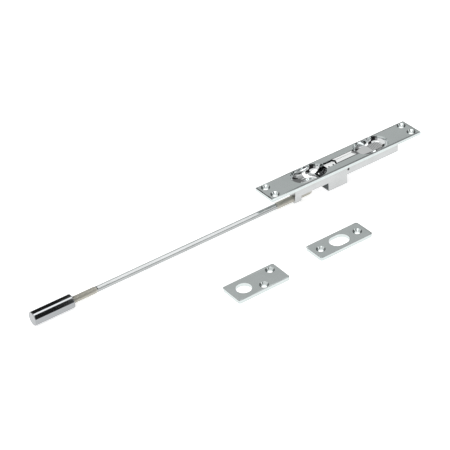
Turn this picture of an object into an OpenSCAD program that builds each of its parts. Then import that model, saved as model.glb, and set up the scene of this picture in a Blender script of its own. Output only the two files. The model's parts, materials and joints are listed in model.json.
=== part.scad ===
// Lever extension flush bolt with its guide plate and strike plate.
// Origin: centre of the faceplate's front face. +Z points out of the door edge,
// -X points along the rod to the bolt tip, and Y is across the door's thickness.
// The model rests with the lever laid in the right-hand cup, so the bolt is thrown.

/* [Faceplate] */
// Length of the faceplate
face_l = 171.45; // [165:0.05:185]
// Width of the faceplate
face_w = 25.4; // [25.4:0.1:30]
// Thickness of the faceplate
face_t = 3.2; // [2.8:0.1:3.4]
// Bevel round the front edge of the faceplate
face_bevel = 0.5; // [0.2:0.1:0.8]
// Distance between the screw holes along the faceplate
screw_span_x = 157.2; // [150:0.1:160]
// Distance between the screw holes across the faceplate
screw_span_y = 14; // [12:0.1:15]

/* [Finger cups] */
// Distance from the middle of the faceplate to the inner end of a cup
cup_in = 18; // [17.5:0.1:18.5]
// Distance from the middle of the faceplate to the outer end of a cup
cup_out = 54; // [52:0.5:55]
// Radius of a cup's round ends
cup_r = 11.5; // [11.2:0.1:11.7]
// Depth of a cup below the front face
cup_d = 8.4; // [8.2:0.1:8.6]
// Half width of the slot that joins the two cups
slot_half = 4.3; // [4.2:0.05:4.4]

/* [Lever] */
// Depth of the lever's turning axis below the front face
pivot_d = 5; // [4.95:0.05:5.05]
// Radius of the lever's hub
hub_r = 5.9; // [5.6:0.1:6]
// Half width of the lever's neck
neck_half = 3.6; // [3.2:0.1:3.8]
// Half width of the finger paddle
paddle_half = 5.4; // [4.8:0.1:5.6]
// Reach of the lever from its axis to the paddle's end
lever_reach = 49; // [46:0.5:49.5]

/* [Bolt] */
// Throw of the bolt
bolt_throw = 19.05; // [18:0.05:19.1]
// Distance from the front face to the bolt's centre line
backset = 19.05; // [18.9:0.05:19.4]
// Distance from the middle of the faceplate to the end of the thrown bolt
tip_reach = 323.85; // [230:0.05:480]
// Diameter of the bolt tip
tip_dia = 12.7; // [12:0.1:12.7]
// Length of the bolt tip
tip_l = 38.1; // [30:0.1:45]
// Diameter of the plain part of the rod
rod_dia = 5.5; // [5:0.1:5.8]

/* [Loose plates] */
// Length of the guide plate
guide_l = 53; // [48:0.5:60]
// Width of the guide plate
guide_w = 25; // [22:0.5:28]
// Length of the strike plate
strike_l = 57; // [52:0.5:64]
// Width of the strike plate
strike_w = 22.6; // [20:0.1:26]
// Thickness of both loose plates
plate_t = 3.2; // [2.4:0.1:3.2]

/* [Hidden] */
$fn = 64;
eps = 0.01;
fit_gap = 0.05;

// The case behind the faceplate
case_half_l = 59.5;
case_half_w = 12.3;
case_wall = 0.9;
case_bottom = -10.2;
case_floor_t = 1;
case_window_x = 21.5;
case_window_y = 6.6;

// The cups
cup_lip_r = cup_r - 1.2;
cup_shell = 0.7;
cup_curve = 4.8;
cup_straight_r = cup_lip_r - cup_curve;
cup_mid_in = cup_in + cup_r;
cup_mid_out = cup_out - cup_r;
cup_pass_half = 4.9;
fillet_r = 4;

// The lever and its cam slot. The slide's pin runs in the slot, and the slot's
// curve moves the pin along a straight line in step with the lever's turn.
pivot_z = -pivot_d;
lever_pin_r = 1.2;
half_throw = bolt_throw / 2;
cam_drop = 3.4;
slide_pin_r = 1.02;
tail_top = -0.2;
slide_pin_z = pivot_z - cam_drop;
paddle_top = -3;
paddle_bottom = 2 * pivot_z - paddle_top;
tail_reach = 17.2;

// The slide
bar_top = -11.7;
bar_t = 1.5;
bar_half_w = 4.4;
bar_left = -54;
bar_split = -22;
rail_in = 4.5;
rail_out = 5.9;
rail_right = -6.6;

// The rod
axis_z = -backset;
thread_r = 3.15;
thread_hole_r = thread_r + fit_gap;
tip_x = -tip_reach;
tip_back = tip_x + tip_l;
rod_right = -34.5;
rod_thread_l = 39;
tip_thread_l = 23.5;
tip_hole_l = 18;
connector_l = 7.5;
connector_left = -55;
connector_half_w = 4;
connector_bottom = -23.2;

// The guard over the swinging tail
guard_left = -18.8;
guard_right = 2.2;
guard_half_w = 7.4;
guard_wall = 1;
guard_bottom = -24;
flange_t = 1;
flange_half_w = 10.6;

// The surface that the loose plates and the bolt tip lie on
table_z = axis_z - tip_dia / 2;
guide_pos = [-150.5, -75.3];
strike_pos = [-60, -73.3];

// Countersunk screw holes
screw_r = 2.3;
screw_head_r = 4.2;
sink_d = 1.9;

chrome = [0.72, 0.75, 0.76];
zinc = [0.8, 0.8, 0.82];

// ---- Shared shapes ----

// A flat rectangle with four round corners, drawn from exact arcs
module round_rect(length, width, radius) {
    square([length - 2 * radius, width], center = true);
    square([length, width - 2 * radius], center = true);
    for (sx = [-1, 1], sy = [-1, 1])
        translate([sx * (length / 2 - radius), sy * (width / 2 - radius)])
            circle(radius);
}

// The empty space of a countersunk hole whose mouth is at z = 0
module screw_hole(thickness) {
    translate([0, 0, -thickness - 1])
        cylinder(r = screw_r, h = thickness + 2);
    translate([0, 0, -sink_d])
        cylinder(r1 = screw_r, r2 = screw_head_r, h = sink_d);
    cylinder(r = screw_head_r, h = 1);
}

// A solid rivet that stands on z = 0: a shank down to -depth and a low head
module rivet(shank_r, depth, head_r, head_h) {
    translate([0, 0, -depth])
        cylinder(r = shank_r, h = depth + eps);
    cylinder(r1 = head_r, r2 = head_r * 0.7, h = head_h);
}

// An outline in X and Z, as thick as given across Y
module along_y(width) {
    rotate([90, 0, 0])
        linear_extrude(width, center = true)
            children();
}

// A cylinder across Y
module pin_y(radius, length, x, z) {
    translate([x, 0, z])
        rotate([90, 0, 0])
            cylinder(r = radius, h = length, center = true);
}

// ---- Faceplate ----

// The mouth of the right-hand cup, which narrows through the faceplate
module cup_mouth() {
    for (x = [cup_mid_in, cup_mid_out])
        translate([x, 0, -face_t - eps])
            cylinder(r1 = cup_lip_r, r2 = cup_r, h = face_t + 2 * eps);
    translate([cup_mid_in, 0, 0])
        rotate([90, 0, 90])
            linear_extrude(cup_mid_out - cup_mid_in)
                polygon([
                    [-cup_lip_r, -face_t - eps], [cup_lip_r, -face_t - eps],
                    [cup_r, eps], [-cup_r, eps]
                ]);
}

// One of the four round blends between the slot and a cup
module slot_blend() {
    reach = cup_r + fillet_r;
    blend_y = slot_half + fillet_r;
    blend_x = cup_mid_in - sqrt(reach * reach - blend_y * blend_y);
    touch_x = cup_mid_in - (cup_mid_in - blend_x) * cup_r / reach;
    translate([0, 0, -face_t - 1])
        linear_extrude(face_t + 2)
            difference() {
                polygon([
                    [blend_x, 0], [blend_x, blend_y],
                    [touch_x, blend_y * cup_r / reach], [cup_mid_in, 0]
                ]);
                translate([blend_x, blend_y])
                    circle(fillet_r);
            }
}

module faceplate() {
    color(chrome)
        difference() {
            translate([-face_l / 2, -face_w / 2, -face_t])
                cube([face_l, face_w, face_t]);
            for (side = [-1, 1]) {
                translate([0, side * face_w / 2, 0])
                    rotate([45, 0, 0])
                        cube([face_l + 2, face_bevel * sqrt(2), face_bevel * sqrt(2)], center = true);
                translate([side * face_l / 2, 0, 0])
                    rotate([0, 45, 0])
                        cube([face_bevel * sqrt(2), face_w + 2, face_bevel * sqrt(2)], center = true);
            }
            for (turn = [0, 180])
                rotate(turn) {
                    cup_mouth();
                    slot_blend();
                    mirror([0, 1, 0])
                        slot_blend();
                }
            translate([-cup_mid_in, -slot_half, -face_t - 1])
                cube([2 * cup_mid_in, 2 * slot_half, face_t + 2]);
            for (sx = [-1, 1], sy = [-1, 1])
                translate([sx * screw_span_x / 2, sy * screw_span_y / 2, 0])
                    screw_hole(face_t);
        }
}

// ---- Case behind the faceplate ----

module case_shell() {
    height = -face_t - case_bottom;
    translate([0, 0, case_bottom])
        difference() {
            linear_extrude(height)
                round_rect(2 * case_half_l, 2 * case_half_w, 2);
            translate([0, 0, case_floor_t])
                linear_extrude(height)
                    round_rect(2 * (case_half_l - case_wall), 2 * (case_half_w - case_wall), 1.1);
        }
}

// Four posts in the case's corners take the rivets that hold the faceplate
post_x = 56.9;
post_y = 9.7;
post_r = 2.2;
rivet_r = 1.1;

module case() {
    color(zinc)
        difference() {
            union() {
                case_shell();
                for (sx = [-1, 1], sy = [-1, 1])
                    translate([sx * post_x, sy * post_y, case_bottom])
                        cylinder(r = post_r, h = -face_t - case_bottom);
            }
            translate([-case_window_x, -case_window_y, case_bottom - 1])
                cube([2 * case_window_x, 2 * case_window_y, case_floor_t + 2]);
            pin_y(lever_pin_r + fit_gap, 2 * case_half_w + 2, 0, pivot_z);
            for (sx = [-1, 1], sy = [-1, 1])
                translate([sx * post_x, sy * post_y, case_bottom - 1])
                    cylinder(r = rivet_r + fit_gap, h = -case_bottom);
            for (x = guard_rivet_x, side = [-1, 1])
                translate([x, side * guard_rivet_y, case_bottom - 1])
                    cylinder(r = small_rivet_r + fit_gap, h = case_floor_t + 2);
            for (side = [-1, 1])
                translate([strap_x, side * guard_rivet_y, case_bottom - 1])
                    cylinder(r = small_rivet_r + fit_gap, h = case_floor_t + 2);
            translate([spring_rivet_x, 0, case_bottom - 1])
                cylinder(r = small_rivet_r + fit_gap, h = case_floor_t + 2);
        }
}

module case_rivets() {
    color(zinc)
        for (sx = [-1, 1], sy = [-1, 1])
            translate([sx * post_x, sy * post_y, case_bottom])
                rotate([180, 0, 0])
                    rivet(rivet_r, -case_bottom - face_t - 0.2, 1.8, 0.5);
}

// ---- Cups ----

// Half of a cup's section, from its middle line outwards: a lip, a round side
// and a flat floor. grow adds the thickness of the shell.
module cup_section(grow) {
    lip = cup_lip_r + grow;
    curve = cup_curve + grow;
    depth = cup_d + grow;
    difference() {
        union() {
            translate([0, -depth])
                square([lip - curve, depth - face_t]);
            translate([0, -depth + curve])
                square([lip, depth - curve - face_t]);
            translate([lip - curve, -depth + curve])
                circle(curve);
        }
        translate([-2 * lip, -2 * depth])
            square([2 * lip, 4 * depth]);
        translate([-lip, -face_t])
            square([4 * lip, 4 * depth]);
    }
}

module cup_body(grow) {
    for (x = [cup_mid_in, cup_mid_out])
        translate([x, 0, 0])
            rotate_extrude()
                cup_section(grow);
    translate([cup_mid_in, 0, 0])
        rotate([90, 0, 90])
            linear_extrude(cup_mid_out - cup_mid_in)
                for (side = [0, 1])
                    mirror([side, 0])
                        cup_section(grow);
}

module cup() {
    difference() {
        cup_body(cup_shell);
        cup_body(0);
        translate([cup_mid_in, 0, -face_t - eps])
            cylinder(r = cup_lip_r, h = 1);
        // The gate that the neck and the paddle pass through
        translate([0, -cup_pass_half, -cup_d])
            cube([cup_mid_in - 4, 2 * cup_pass_half, cup_d]);
        translate([0, -cup_pass_half, -2 * cup_d])
            cube([cup_mid_in - 7, 2 * cup_pass_half, 2 * cup_d]);
    }
}

module cup_left() {
    color(chrome)
        rotate(180)
            cup();
}

module cup_right() {
    color(chrome)
        cup();
}

// ---- Lever ----

module lever_pin() {
    color(zinc)
        pin_y(lever_pin_r, 2 * (case_half_w - 0.8), 0, pivot_z);
}

// Where the slide's pin stands in the lever's own frame after the lever has
// turned by angle: the pin moves in a straight line as the lever turns
function cam_point(angle) =
    let (
        x = -half_throw + bolt_throw * angle / 180,
        z = -cam_drop
    )
    [x * cos(angle) + z * sin(angle), z * cos(angle) - x * sin(angle)];

cam_steps = 18;
cam_line = 0.02;

// The cam slot, as the pin's path widened by the pin's radius and its clearance
module cam_slot() {
    slot_r = slide_pin_r + 0.08;
    offset(r = slot_r, $fn = 24)
        for (i = [0 : cam_steps - 1]) {
            a = cam_point(180 * i / cam_steps);
            b = cam_point(180 * (i + 1) / cam_steps);
            span = norm(b - a);
            translate(a)
                rotate(atan2(b[1] - a[1], b[0] - a[0]))
                    translate([-cam_line, -cam_line / 2])
                        square([span + 2 * cam_line, cam_line]);
        }
}

// How far the hub's flat top reaches past the axis, and the fall of its roof
hub_step = 5.2;
neck_roof = 0.75;

// The neck's outline seen from the side
module neck_side() {
    top = pivot_z + hub_r;
    polygon([
        [-hub_step, top], [13.5, top], [17, top - 0.9], [22.5, paddle_top], [26, paddle_top],
        [26, paddle_bottom], [16, paddle_bottom - 0.6], [0, -9.4], [-hub_step - 1, -6],
        [-hub_step - 2.2, tail_top - neck_roof]
    ]);
}

// The section of the neck or the tail: a low roof with its ridge along the middle
module roof_section(top) {
    polygon([
        [-neck_half, -20], [neck_half, -20], [neck_half, top - neck_roof],
        [0.25, top], [-0.25, top], [-neck_half, top - neck_roof]
    ]);
}

module lever_neck() {
    intersection() {
        along_y(4 * neck_half)
            neck_side();
        translate([-hub_step - 2, 0, 0])
            rotate([90, 0, 90])
                linear_extrude(40)
                    roof_section(pivot_z + hub_r);
    }
}

// The paddle's outline seen from above
module paddle_outline() {
    mid = lever_reach - paddle_half;
    translate([mid, 0])
        circle(paddle_half);
    polygon([
        [20, -neck_half], [23, -neck_half - 0.5], [27, -paddle_half + 0.3], [30, -paddle_half],
        [mid, -paddle_half], [mid, paddle_half],
        [30, paddle_half], [27, paddle_half - 0.3], [23, neck_half + 0.5], [20, neck_half]
    ]);
}

grip_first = 35.5;
grip_pitch = 1.7;
grip_count = 7;
grip_depth = 0.45;

module lever_paddle() {
    difference() {
        translate([0, 0, paddle_bottom])
            linear_extrude(paddle_top - paddle_bottom)
                paddle_outline();
        for (i = [0 : grip_count - 1])
            translate([grip_first + i * grip_pitch, 0, paddle_top])
                rotate([0, 45, 0])
                    cube([grip_depth * sqrt(2), 3 * paddle_half, grip_depth * sqrt(2)], center = true);
        // Undercut at the end, where a fingertip lifts the paddle
        translate([lever_reach - 1.6, -2 * paddle_half, paddle_bottom - 3.2])
            rotate([0, -35, 0])
                cube([8, 4 * paddle_half, 4]);
    }
}

// The tail's outline seen from the side
module tail_side() {
    polygon([
        [0, tail_top], [-tail_reach + 0.3, tail_top], [-tail_reach, tail_top - 0.6],
        [-tail_reach, -2.6], [-tail_reach + 0.8, -4.4], [-13.6, -8], [-12.2, -10.6],
        [-10.6, -11.4], [-8.4, -11.4], [0, -9.6]
    ]);
}

// Waist between the tail's tongue and the cross bar at its end
bar_l = 1.9;
waist_l = 1.3;
waist_half = 2.1;

module lever_tail() {
    difference() {
        intersection() {
            along_y(4 * neck_half)
                tail_side();
            translate([-20, 0, 0])
                rotate([90, 0, 90])
                    linear_extrude(20)
                        roof_section(tail_top);
        }
        for (side = [-1, 1])
            translate([-tail_reach + bar_l, side * (waist_half + 5) - 5, -4.2])
                cube([waist_l, 10, 10]);
    }
    // Cross bar at the tail's end
    translate([-tail_reach + bar_l / 2, 0, -2.2])
        rotate([90, 0, 0])
            linear_extrude(2 * slot_half - 0.6, center = true)
                round_rect(bar_l, 2.6, 0.8);
}

module lever() {
    color(chrome)
        difference() {
            union() {
                pin_y(hub_r - neck_roof - 0.05, 2 * neck_half, 0, pivot_z);
                lever_neck();
                lever_paddle();
                lever_tail();
            }
            translate([0, 0, pivot_z])
                along_y(4 * slot_half)
                    cam_slot();
            pin_y(lever_pin_r + fit_gap, 4 * slot_half, 0, pivot_z);
        }
}

// ---- Slide ----

module slide_bar() {
    bar_bottom = bar_top - bar_t;
    color(zinc)
        difference() {
            union() {
                translate([bar_left, -bar_half_w, bar_bottom])
                    cube([bar_split - bar_left, 2 * bar_half_w, bar_t]);
                translate([bar_split - 5, -rail_out, bar_bottom])
                    cube([5, 2 * rail_out, bar_t]);
                for (side = [-1, 1])
                    translate([0, side * (rail_in + rail_out) / 2, 0])
                        along_y(rail_out - rail_in)
                            polygon([
                                [bar_split - 5, bar_bottom], [rail_right - 2, bar_bottom],
                                [rail_right, bar_bottom + 2], [rail_right, slide_pin_z + 1.2],
                                [rail_right - 0.9, slide_pin_z + 1.8],
                                [-half_throw - 2, slide_pin_z + 1.8],
                                [-half_throw - 4.5, bar_top], [bar_split - 5, bar_top]
                            ]);
            }
            pin_y(slide_pin_r + fit_gap, 3 * rail_out, -half_throw, slide_pin_z);
            for (side = [-1, 1])
                translate([connector_rivet_x, side * connector_rivet_y, bar_bottom - 1])
                    cylinder(r = small_rivet_r + fit_gap, h = bar_t + 2);
        }
}

module slide_pin() {
    color(zinc)
        pin_y(slide_pin_r, 2 * rail_out + 0.5, -half_throw, slide_pin_z);
}

// Strap that carries the slide under the case's floor
strap_x = -25.8;
strap_l = 4;
strap_t = 1;
strap_in = 6.1;

module slide_strap() {
    low = bar_top - bar_t - 0.3 - strap_t;
    color(zinc)
        difference() {
            translate([strap_x, 0, 0])
                rotate([90, 0, 90])
                    linear_extrude(strap_l, center = true) {
                        translate([-strap_in - strap_t, low])
                            square([2 * (strap_in + strap_t), strap_t]);
                        for (side = [-1, 1])
                            translate([side * (strap_in + strap_t / 2), (low + case_bottom) / 2])
                                square([strap_t, case_bottom - low], center = true);
                        for (side = [-1, 1])
                            translate([side * (strap_in + flange_half_w) / 2, case_bottom - flange_t / 2])
                                square([flange_half_w - strap_in, flange_t], center = true);
                    }
            for (side = [-1, 1])
                translate([strap_x, side * guard_rivet_y, case_bottom - 3])
                    cylinder(r = small_rivet_r + fit_gap, h = 4);
        }
}

small_rivet_r = 0.9;
small_head_r = 1.5;
small_head_h = 0.5;
guard_rivet_x = [-15.5, -1];
guard_rivet_y = 9;
connector_rivet_x = -51.25;
connector_rivet_y = 2.6;

// A rivet that hangs head down from the flange under the case's floor
module floor_rivet(x, y) {
    translate([x, y, case_bottom - flange_t])
        rotate([180, 0, 0])
            rivet(small_rivet_r, flange_t + case_floor_t - 0.05, small_head_r, small_head_h);
}

module strap_rivets() {
    color(zinc)
        for (side = [-1, 1])
            floor_rivet(strap_x, side * guard_rivet_y);
}

// Bowed leaf that presses on the slide and holds it at either end of its travel
spring_t = 0.3;
spring_rivet_x = -42;
spring_half_w = 1.1;
spring_pad_half_w = 2.4;

module slide_spring() {
    flat_l = 5;
    bow_l = 13;
    bow_drop = 0.9;
    bow_r = (bow_l * bow_l / 4 + bow_drop * bow_drop) / (2 * bow_drop);
    bow_x = spring_rivet_x + flat_l / 2 + bow_l / 2;
    color(zinc)
        difference() {
            union() {
                translate([spring_rivet_x - flat_l / 2, -spring_pad_half_w, case_bottom - spring_t])
                    cube([flat_l, 2 * spring_pad_half_w, spring_t]);
                intersection() {
                    difference() {
                        pin_y(bow_r + spring_t, 2 * spring_half_w, bow_x, case_bottom - bow_drop + bow_r);
                        pin_y(bow_r, 3 * spring_half_w, bow_x, case_bottom - bow_drop + bow_r);
                    }
                    translate([bow_x, 0, case_bottom - 5])
                        cube([bow_l + 0.4, 4 * spring_half_w, 10], center = true);
                }
            }
            translate([spring_rivet_x, 0, case_bottom - 3])
                cylinder(r = small_rivet_r + fit_gap, h = 4);
        }
}

module spring_rivet() {
    color(zinc)
        translate([spring_rivet_x, 0, case_bottom - spring_t])
            rotate([180, 0, 0])
                rivet(small_rivet_r, spring_t + case_floor_t - 0.05, small_head_r, 0.4);
}

// ---- Guard ----

module crank_guard() {
    length = guard_right - guard_left;
    mid = (guard_right + guard_left) / 2;
    low_r = 1.6;
    color(chrome)
        difference() {
            union() {
                translate([mid, 0, (guard_bottom + case_bottom) / 2])
                    rotate([90, 0, 90])
                        linear_extrude(length, center = true)
                            round_rect(2 * guard_half_w, case_bottom - guard_bottom, low_r);
                translate([mid - length / 2, -flange_half_w, case_bottom - flange_t])
                    cube([length, 2 * flange_half_w, flange_t]);
            }
            translate([guard_left - 1, guard_wall - guard_half_w, guard_bottom + guard_wall])
                cube([length + 2, 2 * (guard_half_w - guard_wall), 30]);
            for (x = guard_rivet_x, side = [-1, 1])
                translate([x, side * guard_rivet_y, case_bottom - 3])
                    cylinder(r = small_rivet_r + fit_gap, h = 4);
        }
}

module guard_rivets() {
    color(zinc)
        for (x = guard_rivet_x, side = [-1, 1])
            floor_rivet(x, side * guard_rivet_y);
}

// ---- Rod and bolt ----

module rod_connector() {
    top = bar_top - bar_t;
    color(zinc)
        difference() {
            translate([connector_left, -connector_half_w, connector_bottom])
                cube([connector_l, 2 * connector_half_w, top - connector_bottom]);
            for (side = [-1, 1])
                translate([connector_left + connector_l / 2, side * connector_half_w, connector_bottom])
                    rotate([45, 0, 0])
                        cube([connector_l + 2, 1.4, 1.4], center = true);
            translate([connector_left - 1, 0, axis_z])
                rotate([0, 90, 0])
                    cylinder(r = thread_hole_r, h = connector_l + 2);
            for (side = [-1, 1])
                translate([connector_rivet_x, side * connector_rivet_y, top - 1.6])
                    cylinder(r = small_rivet_r + fit_gap, h = 3);
        }
}

module connector_rivets() {
    color(zinc)
        for (side = [-1, 1])
            translate([connector_rivet_x, side * connector_rivet_y, bar_top])
                rivet(small_rivet_r, bar_t + 1.5, 1.3, 0.4);
}

module rod() {
    left = tip_back - tip_hole_l + 1;
    color(zinc)
        translate([0, 0, axis_z])
            rotate([0, 90, 0]) {
                translate([0, 0, left])
                    cylinder(r = thread_r, h = tip_hole_l - 1 + tip_thread_l);
                translate([0, 0, left + 1])
                    cylinder(r = rod_dia / 2, h = rod_right - left - 2);
                translate([0, 0, rod_right - rod_thread_l])
                    cylinder(r = thread_r, h = rod_thread_l - 0.7);
                translate([0, 0, rod_right - 0.7])
                    cylinder(r1 = thread_r, r2 = thread_r - 0.6, h = 0.7);
            }
}

module bolt_tip() {
    front_bevel = 0.7;
    back_bevel = 1;
    color([0.2, 0.2, 0.22])
        translate([tip_x, 0, axis_z])
            rotate([0, 90, 0])
                difference() {
                    union() {
                        cylinder(r1 = tip_dia / 2 - front_bevel, r2 = tip_dia / 2, h = front_bevel);
                        translate([0, 0, front_bevel])
                            cylinder(d = tip_dia, h = tip_l - front_bevel - back_bevel);
                        translate([0, 0, tip_l - back_bevel])
                            cylinder(r1 = tip_dia / 2, r2 = tip_dia / 2 - back_bevel, h = back_bevel);
                    }
                    translate([0, 0, tip_l - tip_hole_l])
                        cylinder(r = thread_hole_r, h = tip_hole_l + 1);
                }
}

// ---- Loose plates ----

guide_hole_x = -12.9;
guide_hole_r = 6.9;
guide_screws = [[3, -7], [19, 6.4]];
strike_screw_x = 20.2;
strike_slot_l = 19;
strike_slot_r = 7.2;
plate_corner_r = 2.2;

module guide_plate() {
    color(chrome)
        translate([guide_pos[0], guide_pos[1], table_z + plate_t])
            difference() {
                translate([0, 0, -plate_t])
                    linear_extrude(plate_t)
                        round_rect(guide_l, guide_w, plate_corner_r);
                translate([guide_hole_x, 0, -plate_t - 1])
                    cylinder(r = guide_hole_r, h = plate_t + 2);
                for (p = guide_screws)
                    translate([p[0], p[1], 0])
                        screw_hole(plate_t);
            }
}

module strike_plate() {
    slot_mid = strike_slot_l / 2 - strike_slot_r;
    color(chrome)
        translate([strike_pos[0], strike_pos[1], table_z + plate_t])
            difference() {
                translate([0, 0, -plate_t])
                    linear_extrude(plate_t)
                        round_rect(strike_l, strike_w, plate_corner_r);
                for (side = [-1, 1])
                    translate([side * slot_mid, 0, -plate_t - 1])
                        cylinder(r = strike_slot_r, h = plate_t + 2);
                translate([-slot_mid, -strike_slot_r, -plate_t - 1])
                    cube([2 * slot_mid, 2 * strike_slot_r, plate_t + 2]);
                for (side = [-1, 1])
                    translate([side * strike_screw_x, 0, 0])
                        screw_hole(plate_t);
            }
}

faceplate();
case();
cup_left();
cup_right();
lever_pin();
lever();
crank_guard();
guard_rivets();
slide_bar();
slide_pin();
slide_strap();
strap_rivets();
slide_spring();
spring_rivet();
rod_connector();
connector_rivets();
rod();
bolt_tip();
guide_plate();
strike_plate();
case_rivets();
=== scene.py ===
"""Studio picture of a lever extension flush bolt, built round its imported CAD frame."""
import json
import math

import bmesh
import bpy
from mathutils import Matrix, Vector


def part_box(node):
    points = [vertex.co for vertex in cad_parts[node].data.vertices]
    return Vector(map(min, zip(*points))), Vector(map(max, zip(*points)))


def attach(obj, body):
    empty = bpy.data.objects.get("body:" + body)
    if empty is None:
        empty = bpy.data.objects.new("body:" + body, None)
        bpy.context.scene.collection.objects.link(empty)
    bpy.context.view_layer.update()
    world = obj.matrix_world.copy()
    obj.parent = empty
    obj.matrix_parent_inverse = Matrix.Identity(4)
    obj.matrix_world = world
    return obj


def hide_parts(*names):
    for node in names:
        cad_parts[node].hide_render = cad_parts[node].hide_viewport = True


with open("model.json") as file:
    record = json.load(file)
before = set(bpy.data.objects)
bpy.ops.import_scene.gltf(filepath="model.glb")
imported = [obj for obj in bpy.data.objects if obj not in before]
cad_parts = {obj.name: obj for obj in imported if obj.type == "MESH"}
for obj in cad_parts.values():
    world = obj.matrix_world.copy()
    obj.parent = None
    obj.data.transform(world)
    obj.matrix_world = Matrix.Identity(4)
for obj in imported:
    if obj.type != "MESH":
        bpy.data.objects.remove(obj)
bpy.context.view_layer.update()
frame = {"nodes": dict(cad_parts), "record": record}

MM = 0.001
TAU = 2 * math.pi

# ---------------------------------------------------------------- materials

EVEN = (1, 1, 1)
ALONG_X = (0.05, 1, 1)
# The part of a noise's range that it mostly fills
NOISE_LOW, NOISE_HIGH = 0.3, 0.7
CLOUD_SCALE, CLOUD_DETAIL = 45.0, 3.0
POLISH_SCALE, POLISH_DETAIL, POLISH_ROUGH = 900.0, 5.0, 0.6
POLISH_DEPTH = 0.05 * MM


def node_tree(material):
    """The material's empty node tree and its shader, wired to the output."""
    material.use_nodes = True
    tree = material.node_tree
    tree.nodes.clear()
    out = tree.nodes.new("ShaderNodeOutputMaterial")
    shader = tree.nodes.new("ShaderNodeBsdfPrincipled")
    tree.links.new(shader.outputs["BSDF"], out.inputs["Surface"])
    return tree, shader


def noise(tree, vector, scale, detail=4.0, rough=0.55):
    node = tree.nodes.new("ShaderNodeTexNoise")
    node.inputs["Scale"].default_value = scale
    node.inputs["Detail"].default_value = detail
    node.inputs["Roughness"].default_value = rough
    tree.links.new(vector, node.inputs["Vector"])
    return node.outputs["Fac"]


def stretched(tree, scale):
    """Object coordinates stretched by scale, for polishing lines."""
    coords = tree.nodes.new("ShaderNodeTexCoord")
    mapping = tree.nodes.new("ShaderNodeMapping")
    mapping.inputs["Scale"].default_value = scale
    tree.links.new(coords.outputs["Object"], mapping.inputs["Vector"])
    return mapping.outputs["Vector"]


def ranged(tree, value, low, high):
    """A noise value spread out from low to high."""
    node = tree.nodes.new("ShaderNodeMapRange")
    node.inputs["From Min"].default_value = NOISE_LOW
    node.inputs["From Max"].default_value = NOISE_HIGH
    node.inputs["To Min"].default_value = low
    node.inputs["To Max"].default_value = high
    tree.links.new(value, node.inputs["Value"])
    return node.outputs["Result"]


def blended(tree, factor, first, second):
    """A colour between first and second."""
    node = tree.nodes.new("ShaderNodeMix")
    node.data_type = "RGBA"
    node.inputs["A"].default_value = (*first, 1)
    node.inputs["B"].default_value = (*second, 1)
    tree.links.new(factor, node.inputs["Factor"])
    return node.outputs["Result"]


def metal(name, tint, shade, roughness, lines=EVEN, relief=0.02):
    """A plated metal: faint cloudy tint, fine polishing lines and tiny pits."""
    material = bpy.data.materials.new(name)
    tree, shader = node_tree(material)
    shader.inputs["Metallic"].default_value = 1.0
    cloud = noise(tree, stretched(tree, EVEN), CLOUD_SCALE, CLOUD_DETAIL)
    polish = noise(tree, stretched(tree, lines), POLISH_SCALE, POLISH_DETAIL, POLISH_ROUGH)
    colour = blended(tree, ranged(tree, cloud, 0, 1), tint, shade)
    tree.links.new(colour, shader.inputs["Base Color"])
    tree.links.new(ranged(tree, polish, *roughness), shader.inputs["Roughness"])
    bump = tree.nodes.new("ShaderNodeBump")
    bump.inputs["Strength"].default_value = relief
    bump.inputs["Distance"].default_value = POLISH_DEPTH
    tree.links.new(polish, bump.inputs["Height"])
    tree.links.new(bump.outputs["Normal"], shader.inputs["Normal"])
    return material


# Each metal's two tints, its lowest and highest roughness, the way of its lines and their relief
MATERIALS = {
    "plate": metal(
        "plate_chrome", (0.60, 0.645, 0.64), (0.57, 0.615, 0.61), (0.05, 0.09), ALONG_X),
    "cup": metal("cup_chrome", (0.80, 0.82, 0.82), (0.76, 0.78, 0.79), (0.02, 0.05)),
    "lever": metal("lever_chrome", (0.82, 0.83, 0.83), (0.78, 0.80, 0.80), (0.03, 0.07)),
    "case": metal(
        "case_plate", (0.53, 0.54, 0.54), (0.48, 0.49, 0.49), (0.16, 0.26), ALONG_X, 0.05),
    "tip": metal("tip_chrome", (0.35, 0.36, 0.37), (0.32, 0.33, 0.34), (0.03, 0.06), ALONG_X),
    "rod": metal(
        "rod_plate", (0.42, 0.435, 0.435), (0.38, 0.395, 0.395), (0.08, 0.14), ALONG_X, 0.03),
    "thread": metal(
        "thread_steel", (0.53, 0.52, 0.47), (0.47, 0.46, 0.41), (0.35, 0.50), EVEN, 0.1),
    "zinc": metal(
        "zinc_steel", (0.72, 0.72, 0.72), (0.62, 0.62, 0.63), (0.22, 0.35), ALONG_X, 0.1),
    "dark": metal("dark_steel", (0.16, 0.16, 0.17), (0.10, 0.10, 0.11), (0.25, 0.45), EVEN, 0.1),
}
NODE_MATERIAL = {
    "faceplate": "plate", "guide_plate": "plate", "strike_plate": "plate",
    "cup_left": "cup", "cup_right": "cup", "lever": "lever",
    "case": "case", "crank_guard": "case", "case_rivets": "case", "guard_rivets": "case",
    "lever_pin": "dark", "slide_pin": "dark", "slide_spring": "dark",
    "slide_bar": "zinc", "slide_strap": "zinc", "strap_rivets": "zinc", "spring_rivet": "zinc",
    "rod_connector": "case", "connector_rivets": "zinc", "rod": "rod", "bolt_tip": "tip",
}

# ---------------------------------------------------------------- making and showing pieces


def body_of(node):
    for body, members in frame["record"]["behaviour"]["bodies"].items():
        if node in members:
            return body
    raise KeyError(node)


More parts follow.
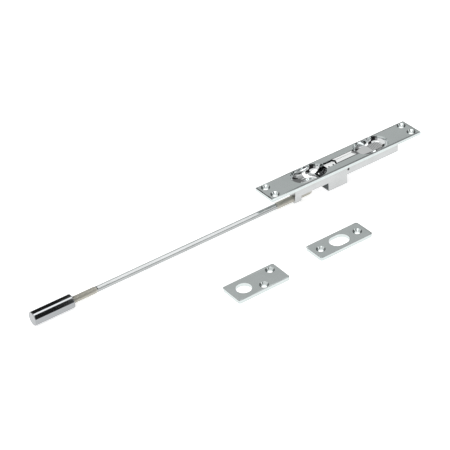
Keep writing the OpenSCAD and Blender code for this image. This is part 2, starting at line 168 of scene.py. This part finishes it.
def add_piece(name, bm, node, sharp_angle=None, second_material=None):
    """Puts a finished shape in the scene in place of a CAD node, on that node's body."""
    mesh = bpy.data.meshes.new(name)
    bm.to_mesh(mesh)
    bm.free()
    mesh.materials.append(MATERIALS[NODE_MATERIAL[node]])
    if second_material:
        mesh.materials.append(MATERIALS[second_material])
    mesh.polygons.foreach_set("use_smooth", [True] * len(mesh.polygons))
    if sharp_angle:
        mesh.set_sharp_from_angle(angle=math.radians(sharp_angle))
    piece = bpy.data.objects.new(name, mesh)
    bpy.context.scene.collection.objects.link(piece)
    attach(piece, body_of(node))
    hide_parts(node)
    return piece


def cut(bm, point, normal, clear_outer=False):
    """Splits a shape along a plane, and drops what is beyond it if clear_outer is set."""
    bmesh.ops.bisect_plane(
        bm, geom=bm.verts[:] + bm.edges[:] + bm.faces[:], plane_co=point, plane_no=normal,
        clear_outer=clear_outer)


def join_corners(bm):
    bmesh.ops.remove_doubles(bm, verts=bm.verts, dist=0.002 * MM)


def merge_flats(bm):
    bmesh.ops.dissolve_limit(
        bm, angle_limit=math.radians(0.6), verts=bm.verts, edges=bm.edges, delimit=set())


def joined(node):
    """A working copy of a CAD node with its split corners joined."""
    bm = bmesh.new()
    bm.from_mesh(frame["nodes"][node].data)
    join_corners(bm)
    return bm


def welded(node):
    """A working copy of a CAD node with split corners joined and flat faces merged."""
    bm = joined(node)
    merge_flats(bm)
    return bm


def finished(bm, node, width=0.15, crease=28.0, sharp=50.0, flat_front=False):
    """Rounds edges sharper than crease degrees over by width in mm, and shows the node so.

    Edges sharper than the second angle shade sharp; with flat_front, so do the edges of faces
    that look straight up, which keeps those faces' reflections even."""
    edges = [e for e in bm.edges
             if len(e.link_faces) == 2 and e.calc_face_angle(0) > math.radians(crease)]
    bmesh.ops.bevel(
        bm, geom=edges, offset=width * MM, offset_type="OFFSET", segments=2,
        profile=0.5, affect="EDGES", clamp_overlap=True)
    bmesh.ops.recalc_face_normals(bm, faces=bm.faces)
    for e in bm.edges:
        angle = math.degrees(e.calc_face_angle(0))
        beside_flat = flat_front and angle > 2 and any(f.normal.z > 0.99999 for f in e.link_faces)
        e.smooth = angle < sharp and not beside_flat
    piece = add_piece(node + "_soft", bm, node)
    weighted = piece.modifiers.new("normals", "WEIGHTED_NORMAL")
    weighted.keep_sharp = True
    weighted.weight = 80


# ---------------------------------------------------------------- plates and lever

# In mm: the finger cups' mouths are round-ended slots, whose lower edge in the CAD faceplate is
# narrower than the upper one
CUP_IN, CUP_OUT, CUP_R, CUP_DEPTH = 18.0, 54.0, 11.45, 8.4
LOWER_MOUTH_R, LOWER_MOUTH_SLACK, LOWER_MOUTH_Z = 10.3, 0.12, -3
FRONT_BEVEL = 0.5 * MM


def clear_mouth(v):
    """Moves a point of the cup openings' lower edge straight below their upper edge."""
    straight = (CUP_IN + CUP_R) * MM, (CUP_OUT - CUP_R) * MM
    near = Vector((math.copysign(min(max(abs(v.co.x), straight[0]), straight[1]), v.co.x), 0))
    away = v.co.xy - near
    on_lower_edge = abs(away.length - LOWER_MOUTH_R * MM) < LOWER_MOUTH_SLACK * MM
    if v.co.z < LOWER_MOUTH_Z * MM and on_lower_edge:
        v.co.xy = near + away.normalized() * CUP_R * MM


def buffed(node, roll_off, fall):
    """A plate whose front face falls away a little at its outer edges, as buffing leaves it."""
    bm = joined(node)
    low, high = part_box(node)
    for axis in (0, 1):
        for limit, towards in ((low[axis], 1), (high[axis], -1)):
            point, normal = Vector((0, 0, 0)), Vector((0, 0, 0))
            point[axis] = limit + towards * (FRONT_BEVEL + roll_off * MM)
            normal[axis] = 1
            cut(bm, point, normal)
    for v in bm.verts:
        clear_mouth(v)
        inset = min(v.co.x - low.x, high.x - v.co.x, v.co.y - low.y, high.y - v.co.y)
        if v.co.z > high.z - 0.01 * MM and inset < FRONT_BEVEL + 0.1 * MM:
            v.co.z -= fall * MM
    merge_flats(bm)
    finished(bm, node, flat_front=True)


# In mm: where the paddle ends, half its width, and how far its corners are cut and eased
PADDLE_END, PADDLE_HALF, PADDLE_CORNER, PADDLE_EASE = 48.4, 5.4, 3.4, 1.0


def eased_paddle():
    """The lever with the paddle's end corners cut back, so that it clears both bowls."""
    bm = welded("lever")
    cuts = [((PADDLE_END, 0, 0), (1, 0, 0))]
    for back, inward, slope in ((0, PADDLE_CORNER, 1), (PADDLE_EASE, PADDLE_EASE, 0.5)):
        for side in (1, -1):
            point = (PADDLE_END - back, side * (PADDLE_HALF - inward), 0)
            cuts.append((point, (slope, side, 0)))
    for point, normal in cuts:
        cut(bm, Vector(point) * MM, Vector(normal).normalized(), clear_outer=True)
        bmesh.ops.holes_fill(bm, edges=[e for e in bm.edges if e.is_boundary], sides=0)
    merge_flats(bm)
    return bm


# ---------------------------------------------------------------- finger cups

CUP_HALF = (CUP_OUT - CUP_IN) / 2
GATE_HALF, GATE_END = 4.9, 25.5
BOWL_AROUND, BOWL_DOWN = 96, 30
BOWL_WALL, BOWL_GAP = 0.5, 0.03


def mouth_radius(c, s):
    """How far the round-ended slot's outline is from its middle in the direction (c, s)."""
    straight = CUP_HALF - CUP_R
    if abs(s) * straight >= abs(c) * CUP_R:
        return CUP_R / abs(s)
    return straight * abs(c) + math.sqrt(CUP_R ** 2 - (straight * s) ** 2)


def bowl(node, side):
    """A smooth oval dish under a cup's mouth, open at its inner end where the lever passes.

    Each ring is an oval low down and takes the mouth's outline near the rim."""
    bm = bmesh.new()
    middle_x = CUP_IN + CUP_HALF
    rings = []
    for k in range(BOWL_DOWN):
        reach = math.sin(TAU / 4 * (1 - k / BOWL_DOWN)) ** 0.8
        rim_share = reach ** 8
        height = -CUP_DEPTH * math.sqrt(1 - reach ** 4) - BOWL_GAP
        ring = []
        for i in range(BOWL_AROUND):
            turn = TAU * i / BOWL_AROUND
            oval = Vector((CUP_HALF * math.cos(turn), CUP_R * math.sin(turn)))
            way = oval.normalized()
            point = reach * (oval * (1 - rim_share) + way * mouth_radius(*way) * rim_share)
            ring.append(bm.verts.new(
                (side * (middle_x + point.x) * MM, point.y * MM, height * MM)))
        rings.append(ring)
    middle = bm.verts.new((side * middle_x * MM, 0, -(CUP_DEPTH + BOWL_GAP) * MM))
    for i in range(BOWL_AROUND):
        j = (i + 1) % BOWL_AROUND
        for upper, lower in zip(rings, rings[1:]):
            bm.faces.new((upper[i], upper[j], lower[j], lower[i]))
        bm.faces.new((rings[-1][i], rings[-1][j], middle))
    cut(bm, (0, GATE_HALF * MM, 0), (0, 1, 0))
    cut(bm, (0, -GATE_HALF * MM, 0), (0, 1, 0))
    cut(bm, (side * GATE_END * MM, 0, 0), (1, 0, 0))
    gate = []
    for f in bm.faces:
        centre = f.calc_center_median()
        if abs(centre.y) < GATE_HALF * MM and side * centre.x < GATE_END * MM:
            gate.append(f)
    bmesh.ops.delete(bm, geom=gate, context="FACES")
    bmesh.ops.recalc_face_normals(bm, faces=bm.faces)
    lowest = min(bm.faces, key=lambda f: f.calc_center_median().z)
    if lowest.normal.z < 0:
        bmesh.ops.reverse_faces(bm, faces=bm.faces)
    piece = add_piece(node + "_bowl", bm, node, 60.0)
    shell = piece.modifiers.new("wall", "SOLIDIFY")
    shell.thickness = BOWL_WALL * MM
    shell.offset = -1


# ---------------------------------------------------------------- rod and tip

AXIS_Z = sum(corner.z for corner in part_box("bolt_tip")) / 2
PITCH = 1.27 * MM
THREAD_CREST = 3.12 * MM
THREAD_ROOT = 2.66 * MM
THREAD_SEGMENTS = 36
# Where a ridge's foot, crest, crest and foot lie along one pitch
RIDGE_STEPS = (0.08, 0.40, 0.60, 0.92)
ROD_R = 2.75 * MM
# How far the front thread shows behind the tip, and how long the back thread is
FRONT_THREAD, BACK_THREAD = 23.5 * MM, 39 * MM
SHOULDER = 0.6 * MM
ROD_END_ROUND = 0.7 * MM
TIP_FRONT_ROUND, TIP_BACK_ROUND = 0.75 * MM, 0.8 * MM
# A ring this near a rounded corner keeps the long surface beside it straight in its reflections
SUPPORT = 0.1 * MM
SOCKET_R, SOCKET_DEPTH, SOCKET_CHAMFER = 3.2 * MM, 18 * MM, 0.4 * MM
# Which of the rod's two materials a face takes
BARREL, THREAD = 0, 1


def lathe(bm, profile, segments=64, material=BARREL):
    """Turns a list of (x, radius) points, in metres, round the rod's centre line."""
    rings = []
    for x, radius in profile:
        ring = []
        for i in range(segments):
            a = TAU * i / segments
            ring.append(bm.verts.new((x, radius * math.cos(a), AXIS_Z + radius * math.sin(a))))
        rings.append(ring)
    for near, far in zip(rings, rings[1:]):
        for i in range(segments):
            j = (i + 1) % segments
            bm.faces.new((near[i], near[j], far[j], far[i])).material_index = material


def rounded_corner(x, radius, size, towards, steps=6):
    """Points of a quarter round, from an end face at x out to a barrel of that radius."""
    points = []
    for i in range(steps + 1):
        a = TAU / 4 * i / steps
        points.append((x + towards * size * (1 - math.sin(a)), radius - size * (1 - math.cos(a))))
    return points[::-1]


def thread_ridge(bm, start, end):
    """A rolled screw ridge wound round the rod, which fades out over its end turns."""
    turns = (end - start) / PITCH - 1
    count = int(turns * THREAD_SEGMENTS)
    rows = []
    for i in range(count + 1):
        fade = min(1.0, i / THREAD_SEGMENTS, (count - i) / THREAD_SEGMENTS)
        crest = THREAD_ROOT + (THREAD_CREST - THREAD_ROOT) * fade
        foot = THREAD_ROOT - 0.04 * MM
        a = TAU * i / THREAD_SEGMENTS
        row = []
        for along, radius in zip(RIDGE_STEPS, (foot, crest, crest, foot)):
            x = start + PITCH * (i / THREAD_SEGMENTS + along)
            row.append(bm.verts.new((x, radius * math.cos(a), AXIS_Z + radius * math.sin(a))))
        rows.append(row)
    for near, far in zip(rows, rows[1:]):
        for k in range(3):
            face = bm.faces.new((near[k], near[k + 1], far[k + 1], far[k]))
            face.material_index = THREAD


def rod():
    """The rod with wound threads at both ends and a plain barrel between them."""
    low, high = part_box("rod")
    front = low.x + 1 * MM
    front_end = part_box("bolt_tip")[1].x + FRONT_THREAD
    back_start = high.x - BACK_THREAD
    bm = bmesh.new()
    lathe(bm, [(front, 0.1 * MM), (front, THREAD_ROOT), (front_end, THREAD_ROOT)],
          material=THREAD)
    lathe(bm, [(front_end, THREAD_ROOT), (front_end + SHOULDER, ROD_R),
               (front_end + 2 * SHOULDER, ROD_R), (back_start - 2 * SHOULDER, ROD_R),
               (back_start - SHOULDER, ROD_R), (back_start, THREAD_ROOT)])
    end = rounded_corner(high.x, THREAD_ROOT, ROD_END_ROUND, -1)
    lathe(bm, [(back_start, THREAD_ROOT)] + end[::-1] + [(high.x, 0.05 * MM)], material=THREAD)
    thread_ridge(bm, low.x + 1.2 * MM, front_end + 0.8 * MM)
    thread_ridge(bm, back_start - 0.8 * MM, high.x - 0.3 * MM)
    join_corners(bm)
    bmesh.ops.recalc_face_normals(bm, faces=bm.faces)
    add_piece("rod_threads", bm, "rod", 40.0, second_material="thread")


def bolt_tip():
    """The round tip, with rounded ends and the socket that the rod screws into."""
    low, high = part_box("bolt_tip")
    radius = (high.z - low.z) / 2
    front = rounded_corner(low.x, radius, TIP_FRONT_ROUND, 1)
    back = rounded_corner(high.x, radius, TIP_BACK_ROUND, -1)
    profile = [(low.x, 0.02 * MM), (low.x, 3.0 * MM), (low.x, radius - TIP_FRONT_ROUND - SUPPORT)]
    profile += front
    profile += [(low.x + TIP_FRONT_ROUND + SUPPORT, radius),
                (high.x - TIP_BACK_ROUND - SUPPORT, radius)]
    profile += back[::-1]
    profile += [(high.x, 4.6 * MM), (high.x, SOCKET_R + SOCKET_CHAMFER),
                (high.x - SOCKET_CHAMFER, SOCKET_R),
                (high.x - SOCKET_DEPTH, SOCKET_R), (high.x - SOCKET_DEPTH, 0.02 * MM)]
    bm = bmesh.new()
    lathe(bm, profile, 96)
    join_corners(bm)
    bmesh.ops.recalc_face_normals(bm, faces=bm.faces)
    add_piece("bolt_tip_turned", bm, "bolt_tip", 40.0)


buffed("faceplate", 0.6, 0.08)
buffed("guide_plate", 0.7, 0.09)
buffed("strike_plate", 0.7, 0.09)
finished(welded("case"), "case")
finished(welded("crank_guard"), "crank_guard")
finished(welded("rod_connector"), "rod_connector", 0.25)
finished(eased_paddle(), "lever", crease=34.0, sharp=12.0)
bowl("cup_right", 1)
bowl("cup_left", -1)
rod()
bolt_tip()

for name, obj in frame["nodes"].items():
    obj.data.materials.clear()
    obj.data.materials.append(MATERIALS[NODE_MATERIAL[name]])

# ---------------------------------------------------------------- studio

TABLE_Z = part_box("bolt_tip")[0].z
FLOOR_HALF = 6.0
FLOOR_GLOW = 0.7


def studio_floor():
    """A wide plain pale table top that glows a little, so that shadows stay faint."""
    mesh = bpy.data.meshes.new("studio_floor")
    corners = ((-1, -1), (1, -1), (1, 1), (-1, 1))
    mesh.from_pydata(
        [(x * FLOOR_HALF, y * FLOOR_HALF, TABLE_Z) for x, y in corners], [], [(0, 1, 2, 3)])
    floor = bpy.data.objects.new("studio_floor", mesh)
    bpy.context.scene.collection.objects.link(floor)
    material = bpy.data.materials.new("pale_floor")
    tree, shader = node_tree(material)
    shade = noise(tree, stretched(tree, EVEN), 3.0)
    tree.links.new(
        blended(tree, shade, (0.80, 0.80, 0.80), (0.82, 0.82, 0.82)), shader.inputs["Base Color"])
    shader.inputs["Roughness"].default_value = 0.9
    shader.inputs["Emission Color"].default_value = (1, 1, 1, 1)
    shader.inputs["Emission Strength"].default_value = FLOOR_GLOW
    mesh.materials.append(material)


# How bright the studio's parts are
WHITE, LAMP, STRIP, ROD_LAMP, ROD_EDGE_LAMP = 1.15, 1.3, 3.2, 2.6, 1.6
PALE, GREY, CEILING, HAZE, WINDOW = 0.95, 0.78, 0.66, 0.55, 0.45
WALL, SHADED_WALL, DIM, DARK = 0.38, 0.22, 0.25, 0.03
BACKGROUND = 1.0
# The tip and the rod lie along X, so each mirrors only directions with an x in a narrow range
TIP_X, ROD_X, ROD_EDGE_X, X_SOFT = (0.308, 0.3475), (0.3495, 0.478), (0.3495, 0.405), 0.003


def studio_world():
    """A white studio drawn by direction, with grey and dark panels and a few lamps.

    A panel is given by its turn from +X towards +Y, from and to, its height above the horizon,
    from and to, and how soft its edges are, all in degrees. Later layers cover earlier ones. The
    camera itself sees a plain background, and the panels only as reflections."""
    world = bpy.data.worlds.new("studio")
    bpy.context.scene.world = world
    world.use_nodes = True
    tree = world.node_tree
    tree.nodes.clear()
    link = tree.links.new
    coords = tree.nodes.new("ShaderNodeTexCoord")
    split = tree.nodes.new("ShaderNodeSeparateXYZ")
    link(coords.outputs["Generated"], split.inputs["Vector"])

    def feed(socket, value):
        if isinstance(value, bpy.types.NodeSocket):
            link(value, socket)
        else:
            socket.default_value = value

    def maths(operation, *values):
        node = tree.nodes.new("ShaderNodeMath")
        node.operation = operation
        for socket, value in zip(node.inputs, values):
            feed(socket, value)
        return node.outputs["Value"]

    def mixed(factor, first, second):
        node = tree.nodes.new("ShaderNodeMix")
        node.data_type = "FLOAT"
        for socket, value in (("Factor", factor), ("A", first), ("B", second)):
            feed(node.inputs[socket], value)
        return node.outputs["Result"]

    def step(value, edge, soft):
        """0 below the edge and 1 above it."""
        node = tree.nodes.new("ShaderNodeMapRange")
        node.interpolation_type = "SMOOTHSTEP"
        node.inputs["From Min"].default_value = edge - soft
        node.inputs["From Max"].default_value = edge + soft
        link(value, node.inputs["Value"])
        return node.outputs["Result"]

    def between(value, low, high, soft):
        return maths("SUBTRACT", step(value, low, soft), step(value, high, soft))

    def both(first, second):
        return maths("MULTIPLY", first, second)

    x, y, z = (split.outputs[axis] for axis in "XYZ")
    turn = maths("MULTIPLY", maths("ARCTAN2", y, x), 360 / TAU)
    height = maths("MULTIPLY", maths("ARCSINE", z), 360 / TAU)

    def panel(turn_low, turn_high, low, high, soft=1.5):
        return both(between(turn, turn_low, turn_high, soft), between(height, low, high, soft))

    # Round the X axis, slope is 0 straight up and grows towards +Y
    slope = maths("DIVIDE", y, maths("MAXIMUM", z, 0.02))
    tip_slice = between(x, *TIP_X, X_SOFT)
    rod_slice = between(x, *ROD_X, X_SOFT)
    rod_edge_slice = between(x, *ROD_EDGE_X, X_SOFT)
    rod_top = between(slope, -1.6, 0.62, 0.04)
    rod_back = both(step(slope, 0.62, 0.04), step(z, 0.03, 0.02))
    tip_top = both(between(slope, -0.30, 0.175, 0.02), step(height, 30, 3))
    layers = (
        # the wall behind the bolt
        (WALL, panel(-3, 125, 5, 66)),
        (CEILING, panel(-62, 128, 66, 95, 3)),
        (SHADED_WALL, panel(-3, 125, 5, 50)),
        # round the camera and to its right, seen in the cups' far sides
        (DARK, panel(-136, -84, -3, 37)),
        (WHITE, panel(-82, -61, -3, 23)),
        (DARK, panel(-86, -66, 23, 64)),
        (HAZE, panel(-66, -3, 30, 66)),
        (DARK, panel(-60, -36, -3, 21)),
        (DIM, panel(-36, -18, -3, 30)),
        (DARK, panel(-18, -3, -3, 43)),
        # where the flat plates mirror when they are seen from other sides
        (WINDOW, panel(-53, -37, 9, 21, 2.0)),
        (WINDOW, panel(-142, -121, 9, 32, 2.0)),
        (WINDOW, panel(20, 46, 12, 27, 2.0)),
        (PALE, panel(-52, -40, 36, 47, 2.0)),
        (DARK, panel(96, 130, 31, 50)),
        (WHITE, both(rod_slice, rod_back)),
        (ROD_EDGE_LAMP, both(rod_edge_slice, rod_back)),
        # what the flat plates mirror in the photo's view
        (GREY, panel(46.5, 64, 28.5, 40, 1.0)),
        (LAMP, panel(31, 40, 47, 54.5, 1.0)),
        (LAMP, panel(54.5, 63, 7, 15, 1.0)),
        (DARK, both(tip_slice, step(z, 0.06, 0.02))),
        (STRIP, both(tip_slice, tip_top)),
        (ROD_LAMP, both(rod_slice, rod_top)),
    )
    level = WHITE
    for value, mask in layers:
        level = mixed(mask, level, value)
    path = tree.nodes.new("ShaderNodeLightPath")
    level = mixed(path.outputs["Is Camera Ray"], level, BACKGROUND)
    background = tree.nodes.new("ShaderNodeBackground")
    out = tree.nodes.new("ShaderNodeOutputWorld")
    link(level, background.inputs["Strength"])
    link(background.outputs["Background"], out.inputs["Surface"])


def soft_light():
    """A wide faint lamp overhead, aimed at the bolt."""
    data = bpy.data.lights.new("overhead", "AREA")
    data.shape = "DISK"
    data.size = 1.2
    data.energy = 6.0
    lamp = bpy.data.objects.new("overhead", data)
    lamp.location = (-0.5, -0.3, 1.6)
    aim = Vector((-0.1, 0, 0)) - lamp.location
    lamp.rotation_euler = aim.to_track_quat("-Z", "Y").to_euler()
    bpy.context.scene.collection.objects.link(lamp)


# The camera's fit: degrees, millimetres and a focal length in pixels of a 450 pixel wide frame
VIEW_TURN, VIEW_HEIGHT, VIEW_TILT = -32.66, 35.01, -4.56
VIEW_TARGET, VIEW_DISTANCE = (-139.62, -16.95, 0), 1359.86
FOCAL_PIXELS, FRAME_PIXELS = 1582.14, 450
SENSOR = 36.0


def camera():
    """The camera, set by the turn, height and tilt of its view of a point on the bolt."""
    turn, height, tilt = (math.radians(a) for a in (VIEW_TURN, VIEW_HEIGHT, VIEW_TILT))
    back = Vector((
        math.sin(turn) * math.cos(height), -math.cos(turn) * math.cos(height), math.sin(height)))
    right = Vector((math.cos(turn), math.sin(turn), 0))
    up = back.cross(right)
    tilted_right = right * math.cos(tilt) + up * math.sin(tilt)
    tilted_up = up * math.cos(tilt) - right * math.sin(tilt)
    data = bpy.data.cameras.new("camera")
    data.sensor_width = SENSOR
    data.lens = FOCAL_PIXELS / FRAME_PIXELS * SENSOR
    data.clip_end = 50
    obj = bpy.data.objects.new("camera", data)
    basis = Matrix((tilted_right, tilted_up, back)).transposed().to_4x4()
    place = Vector(VIEW_TARGET) * MM + back * VIEW_DISTANCE * MM
    obj.matrix_world = Matrix.Translation(place) @ basis
    bpy.context.scene.collection.objects.link(obj)
    bpy.context.scene.camera = obj


studio_floor()
studio_world()
soft_light()
camera()
bpy.context.scene.view_settings.view_transform = "Standard"
